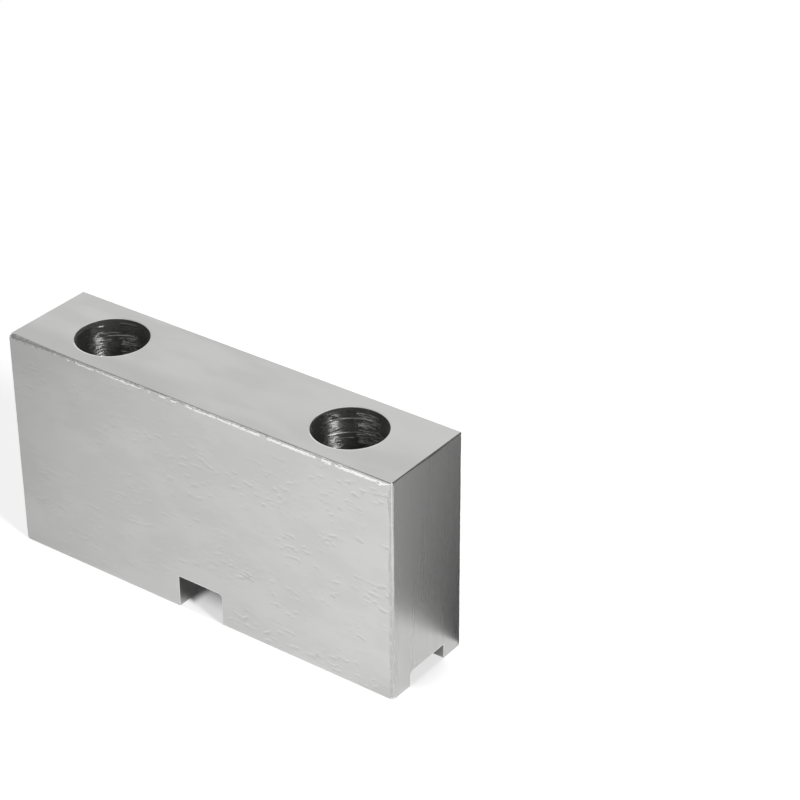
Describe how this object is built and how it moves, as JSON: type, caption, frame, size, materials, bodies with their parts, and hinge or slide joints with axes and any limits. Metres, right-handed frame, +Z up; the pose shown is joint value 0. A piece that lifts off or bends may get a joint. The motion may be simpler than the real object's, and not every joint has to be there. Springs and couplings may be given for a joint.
{
  "type": "machinable soft jaw",
  "caption": "Blank steel top jaw for a lathe chuck: an upright rectangular block with counterbored screw holes down through its height and crossed keyways in its base, bored to suit the work.",
  "frame": {"origin": "middle of the base, where the jaw stands on the chuck's sliding jaw", "axes": "+X along the jaw's length, +Y across its width, +Z up to the face that the screws go in from"},
  "size_m": [0.12, 0.028, 0.062],
  "materials": {
    "ground_steel": "fine ground on the outer faces, milled in the keyways, bored in the screw holes"
  },
  "bodies": {
    "root": {"soft_jaw": "ground_steel"}
  },
  "joints": []
}
